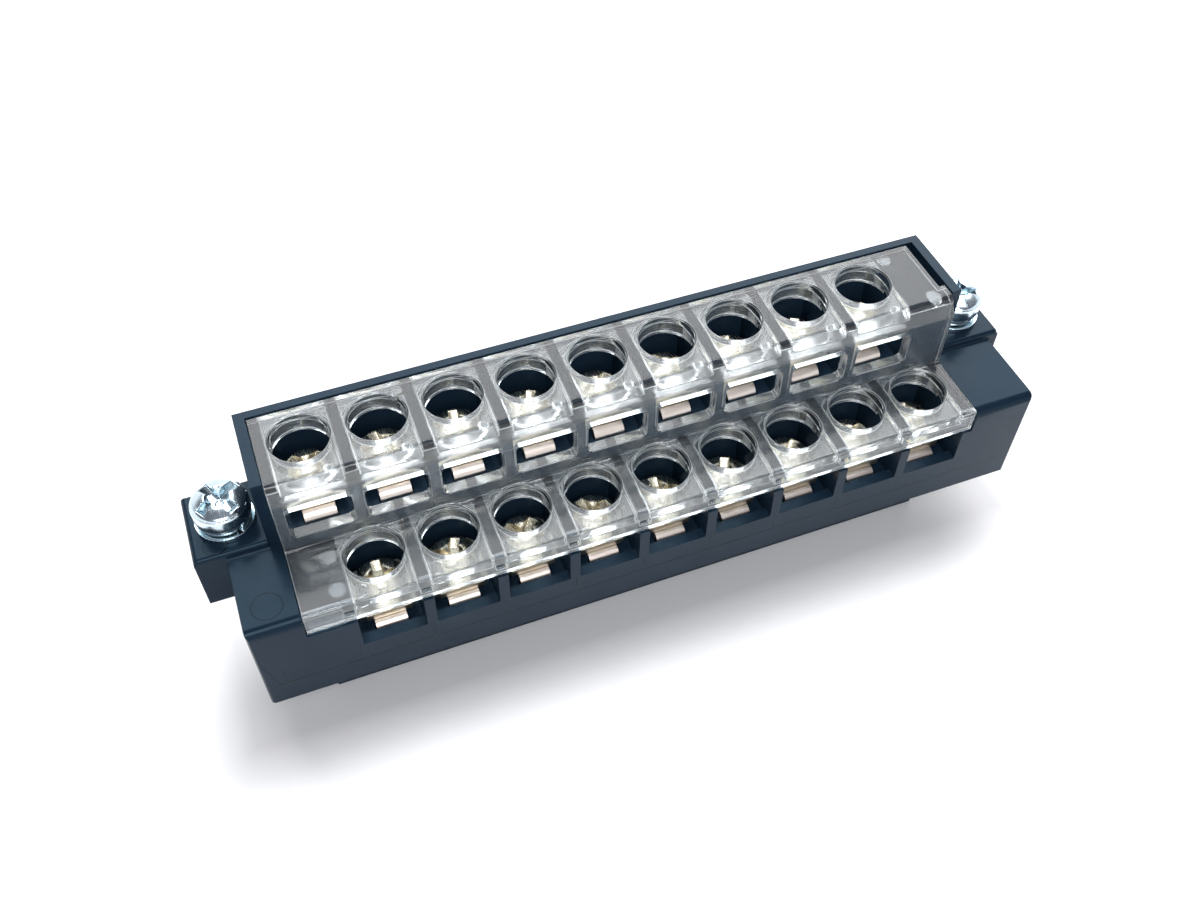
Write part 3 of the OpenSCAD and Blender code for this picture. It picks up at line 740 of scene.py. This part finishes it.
def head_surface(node, head_z, axis, radius, rim_z, shapes):
    """The part of a screw's solid above the underside of its head, closed below, with its rim and edges
    rounded, as a bmesh. Its sharp edges are found before its rim is rounded, the old rim among them."""
    surface = solid_surface(node)
    bmesh.ops.dissolve_limit(surface, angle_limit=FLAT_TURN, verts=surface.verts, edges=surface.edges)
    below = [point for point in surface.verts if point.co.z < head_z - LEVEL_GAP]
    bmesh.ops.delete(surface, geom=below, context="VERTS")
    bmesh.ops.holes_fill(surface, edges=[edge for edge in surface.edges if edge.is_boundary])
    for step in np.linspace(*RIM_SPAN, RIM_RINGS):
        bmesh.ops.bisect_plane(
            surface, geom=[*surface.verts, *surface.edges, *surface.faces], dist=MERGE_GAP,
            plane_co=(0, 0, rim_z + step * shapes.head_round), plane_no=(0, 0, 1))
    sharp = [edge for edge in surface.edges if edge_turn(edge) > ROUNDED_TURN]
    points = np.array([point.co for point in surface.verts])
    rounded = rounded_rim(points, axis, radius, rim_z, shapes.head_round)
    for point, place in zip(surface.verts, rounded):
        point.co = place
    bmesh.ops.bevel(
        surface, geom=sharp, offset=shapes.metal_edge, segments=ROUNDING_FACES, profile=0.5, affect="EDGES",
        clamp_overlap=False)
    return surface


def threaded_screw(node, material, shapes):
    """A screw with the solid's own head, its rim and edges rounded, on a threaded shank."""
    low, high = np.array(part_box(node))
    axis = ((low + high) / 2)[:2]
    points = mesh_points(frame["nodes"][node].data)
    reach = np.hypot(*(points[:, :2] - axis).T)
    height = points[:, 2]
    head_radius = reach.max()
    wall = height[reach > ON_RADIUS * head_radius]
    head_z = wall.min()
    on_shank = height < head_z - LEVEL_GAP
    radius = reach[on_shank].max()
    thread_top = height[on_shank & (reach > ON_RADIUS * radius)].max()
    if thread_top < low[2] + shapes.thread_pitch:
        thread_top = head_z
    neck = max(radius - shapes.thread_depth, reach[np.abs(height - head_z) < LEVEL_GAP].min())
    surface = head_surface(node, head_z, axis, head_radius, wall.max(), shapes)
    add_rings(surface, thread_rings(axis, low[2], thread_top, head_z + SHANK_IN_HEAD, radius, neck, shapes))
    mesh = kept_mesh(surface, f"{node}_threaded")
    mesh.shade_smooth()
    piece = new_piece(f"{node}_threaded", node, mesh, material)
    normals = piece.modifiers.new("Flat faces stay flat", "WEIGHTED_NORMAL")
    normals.weight = 90
    return piece


def coiled_washer(node, inside_radius, material, shapes):
    """A split spring washer: a rectangle with eased corners carried once round the axis, rising evenly from
    one cut end to the other, with both cuts slanted by turning each point in step with its height in the
    rectangle."""
    low, high = np.array(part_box(node))
    centre = (low + high) / 2
    outside_radius = (high - low)[0] / 2
    half_width = (outside_radius - inside_radius) / 2
    half_thick = ((high - low)[2] - shapes.washer_rise) / 2
    ease = shapes.metal_edge
    corners = np.array([(-1, -1), (1, -1), (1, 1), (-1, 1)]) * (half_width - ease, half_thick - ease)
    angles = np.radians([225, 315, 45, 135])[:, None] + np.radians([-45, 0, 45])
    profile = (corners[:, None] + ease * np.stack((np.cos(angles), np.sin(angles)), axis=-1)).reshape(-1, 2)
    across, above = profile.T
    turn = np.linspace(shapes.washer_gap / 2, FULL_TURN - shapes.washer_gap / 2, WASHER_SECTIONS)[:, None]
    r = (outside_radius + inside_radius) / 2 + across
    z = centre[2] + (turn / FULL_TURN - 0.5) * shapes.washer_rise + above
    a = turn + WASHER_TURN + above / outside_radius * WASHER_SLANT
    surface = bmesh.new()
    add_rings(surface, np.stack((centre[0] + r * np.cos(a), centre[1] + r * np.sin(a), z), axis=-1))
    bmesh.ops.recalc_face_normals(surface, faces=surface.faces)
    mesh = kept_mesh(surface, f"{node}_coiled")
    mesh.shade_smooth()
    piece = new_piece(f"{node}_coiled", node, mesh, material)
    piece.modifiers.new("Flat faces stay flat", "WEIGHTED_NORMAL")
    return piece


def floor_material(stage):
    """A pale matt floor that keeps the rendered shadow and glows white as background for camera, glossy and
    transmission rays. The glow is none within the block's footprint and rises round it, so the floor under
    and by the block is partly rendered shadow and partly painted shade. Far away the floor glows white all
    over."""
    material = bpy.data.materials.new("pale_floor")
    material.use_nodes = True
    tree = material.node_tree
    join = partial(reckoned, tree)
    shader = tree.nodes["Principled BSDF"]
    shader.inputs["Base Color"].default_value = opaque(stage.floor)
    shader.inputs["Roughness"].default_value = 0.9
    shader.inputs["Specular IOR Level"].default_value = 0.1
    shader.inputs["Emission Color"].default_value = (1, 1, 1, 1)
    ray = tree.nodes.new("ShaderNodeLightPath").outputs
    seen = join("MAXIMUM", ray["Is Glossy Ray"], ray["Is Transmission Ray"])
    seen = join("MAXIMUM", ray["Is Camera Ray"], seen)
    x, y, _ = object_place(tree)
    outside = [join("MAXIMUM", join("SUBTRACT", join("ABSOLUTE", axis), half), 0)
               for axis, half in zip((x, y), CAD_BOX[1])]
    reach = diagonal(tree, *outside)
    # Painted shade: the glow rises from none at the footprint to the floor lift over the floor reach, so the
    # floor next to the block stays darker than the glowing floor beyond
    near = spread(tree, reach, (0, stage.floor_reach), (0, stage.floor_lift))
    far = spread(tree, reach, (FAR_START * stage.far_reach, stage.far_reach), (0, 1 - stage.floor_lift))
    feed(tree, join("MULTIPLY", seen, join("ADD", near, far)), shader.inputs["Emission Strength"])
    return material


def studio_floor(stage):
    """A round floor that bends up into a low wall, as (points, faces): a profile carried round the upright
    axis, flat out to the bend, then a quarter circle, then straight up; it is open at the top."""
    bend = np.linspace(0, math.pi / 2, BEND_PLACES)
    reach = stage.floor_flat + stage.floor_bend * np.sin(bend)
    level = stage.floor_bend * (1 - np.cos(bend))
    reach = np.append(reach, reach[-1])[:, None]
    level = np.append(level, level[-1] + stage.floor_wall)[:, None]
    angle = np.linspace(FULL_TURN, 0, FLOOR_PLACES, endpoint=False)
    rings = np.stack(np.broadcast_arrays(reach * np.cos(angle), reach * np.sin(angle), level), axis=-1)
    points, faces = capped_rings(rings)
    return points, faces[:-1]


def place_object(holder, place, right, up):
    """Puts a lamp or camera at a place, turned so that its x points right and its y points up."""
    turn = Matrix((right, up, np.cross(right, up))).transposed()
    holder.matrix_world = Matrix.Translation(place) @ turn.to_4x4()


def area_lamp(name, place, target, size, power):
    """A soft lamp, (across, up) in size, at a place and facing a target."""
    lamp = bpy.data.lights.new(name, "AREA")
    lamp.shape = "RECTANGLE"
    lamp.size, lamp.size_y = size
    lamp.energy = power
    away = np.subtract(place, target)
    away /= np.linalg.norm(away)
    right = np.cross((0.0, 1.0, 0.0), away)
    right /= np.linalg.norm(right)
    place_object(new_object(name, lamp), place, right, np.cross(away, right))


class BLOCK_OT_housing(bpy.types.Operator):
    """Rounds the housing's edges and gives it satin plastic with mould lines."""

    bl_idname = "block.housing"
    bl_label = "Housing"

    def execute(self, context):
        material = housing_plastic(context.scene.block_colours)
        softened("housing", "housing_moulding", material, context.scene.block_shapes.housing_edge)
        return {"FINISHED"}


class BLOCK_OT_cover(bpy.types.Operator):
    """Sinks pin marks into the cover, rounds its edges and gives it clear plastic, frosted on the edges."""

    bl_idname = "block.cover"
    bl_label = "Cover"

    def execute(self, context):
        colours = context.scene.block_colours
        shapes = context.scene.block_shapes
        polished = clear_plastic("cover_plastic", colours, roughness=0.15, transmission=0.97)
        frosted = clear_plastic("cover_edge_plastic", colours, roughness=0.3, transmission=0.8)
        marks = cover_marks()
        marked("cover", "cover_moulding", (polished, frosted), shapes.cover_edge, marks, shapes.mark_depth)
        return {"FINISHED"}


class BLOCK_OT_terminal_screws(bpy.types.Operator):
    """Gives the terminal screws their threads, rounded heads and plating."""

    bl_idname = "block.terminal_screws"
    bl_label = "Terminal screws"

    def execute(self, context):
        colours = context.scene.block_colours
        material = plated_metal(
            "screw_nickel", colours.screw, NICKEL_DEEP, patches=0.5, roughness=0.24, scratches=0.08,
            bump=0.012)
        for node in TERMINAL_SCREWS:
            threaded_screw(node, material, context.scene.block_shapes)
        return {"FINISHED"}


class BLOCK_OT_clamps(bpy.types.Operator):
    """Gives the clamp plates and contact strips their rounded edges and plating."""

    bl_idname = "block.clamps"
    bl_label = "Clamp plates and contacts"

    def execute(self, context):
        colours = context.scene.block_colours
        plate = plated_metal(
            "clamp_nickel", colours.clamp, NICKEL_DEEP, patches=0.4, roughness=0.3, scratches=0.08)
        strip = plated_metal(
            "strip_nickel", colours.strip, STRIP_DEEP, patches=0.3, roughness=0.32, scratches=0.04)
        for nodes, material in ((CLAMPS, plate), (CONTACTS, strip)):
            for node in nodes:
                softened(node, f"{node}_plated", material, context.scene.block_shapes.metal_edge)
        return {"FINISHED"}


class BLOCK_OT_mounting_hardware(bpy.types.Operator):
    """Gives the mounting screws their threads and the spring washers their coil, and plates both and the flat
    washers with zinc."""

    bl_idname = "block.mounting_hardware"
    bl_label = "Mounting hardware"

    def execute(self, context):
        colours = context.scene.block_colours
        shapes = context.scene.block_shapes
        material = plated_metal(
            "bright_zinc", colours.zinc, ZINC_DEEP, patches=0.5, roughness=0.2, scratches=0.1, bump=0.03)
        for side in SIDES:
            threaded_screw(f"mounting_screw_{side}", material, shapes)
            coiled_washer(f"spring_washer_{side}", shapes.washer_bore / 2, material, shapes)
            softened(f"flat_washer_{side}", f"flat_washer_{side}_plated", material, shapes.metal_edge)
        return {"FINISHED"}


class BLOCK_OT_stage(bpy.types.Operator):
    """Lays the floor, hangs the lamps and sets the camera."""

    bl_idname = "block.stage"
    bl_label = "Stage"

    def execute(self, context):
        scene = context.scene
        stage = scene.block_stage
        points, faces = studio_floor(stage)
        mesh = bpy.data.meshes.new("floor")
        mesh.from_pydata(points, [], faces)
        mesh.shade_smooth()
        mesh.materials.append(floor_material(stage))
        floor = new_object("floor", mesh)
        area_lamp("rear_lamp", *REAR_LAMP, stage.rear_power)
        area_lamp("overhead_lamp", *OVERHEAD_LAMP, stage.key_power)
        area_lamp("front_lamp", *FRONT_LAMP, stage.fill_power)
        world = bpy.data.worlds.new("even_light")
        world.use_nodes = True
        background = world.node_tree.nodes["Background"]
        background.inputs["Color"].default_value = opaque(stage.world)
        background.inputs["Strength"].default_value = stage.world_strength
        scene.world = world
        scene.view_settings.view_transform = "Standard"
        camera = bpy.data.cameras.new("camera")
        camera.sensor_fit = "HORIZONTAL"
        camera.sensor_width = 36
        camera.lens = stage.lens
        camera.clip_start = 2 * MM
        right = np.array(stage.camera_right)
        right /= np.linalg.norm(right)
        up = np.array(stage.camera_up)
        up -= right * right.dot(up)
        up /= np.linalg.norm(up)
        scene.camera = new_object("camera", camera)
        place_object(scene.camera, stage.camera_place, right, up)
        return {"FINISHED"}


class BLOCK_PT_panel(bpy.types.Panel):
    """Lists the block's steps and settings."""

    bl_idname = "BLOCK_PT_panel"
    bl_label = "Terminal block"
    bl_space_type = "VIEW_3D"
    bl_region_type = "UI"
    bl_category = "Terminal block"

    def draw(self, context):
        for operator in OPERATORS:
            self.layout.operator(operator.bl_idname)
        for group in (context.scene.block_colours, context.scene.block_shapes, context.scene.block_stage):
            box = self.layout.box()
            for name in group.bl_rna.properties.keys():
                if name not in ("rna_type", "name"):
                    box.prop(group, name)


GROUPS = {"block_colours": BlockColours, "block_shapes": BlockShapes, "block_stage": BlockStage}
OPERATORS = (BLOCK_OT_stage, BLOCK_OT_housing, BLOCK_OT_cover, BLOCK_OT_terminal_screws, BLOCK_OT_clamps,
             BLOCK_OT_mounting_hardware)


def register():
    """Registers the classes and hangs their settings on the scene."""
    for kind in (*GROUPS.values(), *OPERATORS, BLOCK_PT_panel):
        bpy.utils.register_class(kind)
    for name, kind in GROUPS.items():
        setattr(bpy.types.Scene, name, PointerProperty(type=kind))


def unregister():
    """Takes the settings and classes away."""
    for name in GROUPS:
        delattr(bpy.types.Scene, name)
    for kind in (BLOCK_PT_panel, *reversed(OPERATORS), *GROUPS.values()):
        bpy.utils.unregister_class(kind)


def main():
    """Dresses the block step by step."""
    register()
    bpy.ops.block.stage()
    bpy.ops.block.housing()
    bpy.ops.block.cover()
    bpy.ops.block.terminal_screws()
    bpy.ops.block.clamps()
    bpy.ops.block.mounting_hardware()


if __name__ == "__main__":
    main()
